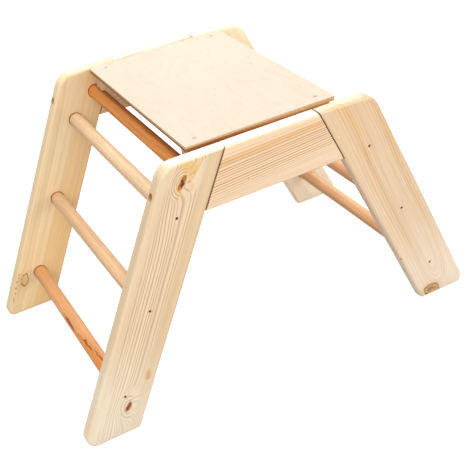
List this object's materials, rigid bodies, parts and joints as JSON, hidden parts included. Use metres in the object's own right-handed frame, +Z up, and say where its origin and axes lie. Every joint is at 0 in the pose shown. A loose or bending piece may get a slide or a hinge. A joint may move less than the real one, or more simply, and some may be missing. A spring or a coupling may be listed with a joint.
{
  "type": "climbing ladder",
  "caption": "Low wooden climbing trestle for small children: leaning rung ladders on both sides of a lift-off platform, in rounded pine side panels.",
  "frame": {"origin": "on the floor, midway between the feet of the two ladders and midway between the two side panels", "axes": "+X along the beams, from the left ladder to the right one, +Y from the near panel to the far one, +Z up"},
  "size_m": [0.8566, 0.49, 0.503],
  "materials": {
    "pine": "clear satin lacquer over sanded, knotty pine",
    "beech": "clear satin lacquer over turned beech",
    "birch_plywood": "clear satin lacquer over birch plywood",
    "nail_steel": "dark, sunk in the wood",
    "screw_steel": "bright zinc"
  },
  "bodies": {
    "frame": {"near_left_leg": "pine", "near_right_leg": "pine", "far_left_leg": "pine", "far_right_leg": "pine", "near_beam": "pine", "far_beam": "pine", "left_rung_1": "beech", "left_rung_2": "beech", "left_rung_3": "beech", "left_rung_4": "beech", "right_rung_1": "beech", "right_rung_2": "beech", "right_rung_3": "beech", "right_rung_4": "beech", "near_left_nail_1": "nail_steel", "near_left_nail_2": "nail_steel", "near_left_nail_3": "nail_steel", "near_right_nail_1": "nail_steel", "near_right_nail_2": "nail_steel", "near_right_nail_3": "nail_steel", "far_left_nail_1": "nail_steel", "far_left_nail_2": "nail_steel", "far_left_nail_3": "nail_steel", "far_right_nail_1": "nail_steel", "far_right_nail_2": "nail_steel", "far_right_nail_3": "nail_steel", "near_left_beam_screw": "screw_steel", "near_right_beam_screw": "screw_steel", "far_left_beam_screw": "screw_steel", "far_right_beam_screw": "screw_steel"},
    "platform": {"platform_board": "birch_plywood", "near_platform_batten": "pine", "far_platform_batten": "pine", "near_left_board_screw": "screw_steel", "near_right_board_screw": "screw_steel", "far_left_board_screw": "screw_steel", "far_right_board_screw": "screw_steel"}
  },
  "joints": [
    {"name": "platform_lift", "type": "slide", "parent": "frame", "child": "platform", "axis": [0, 0, 1], "range_m": [0, 0.1]}
  ]
}
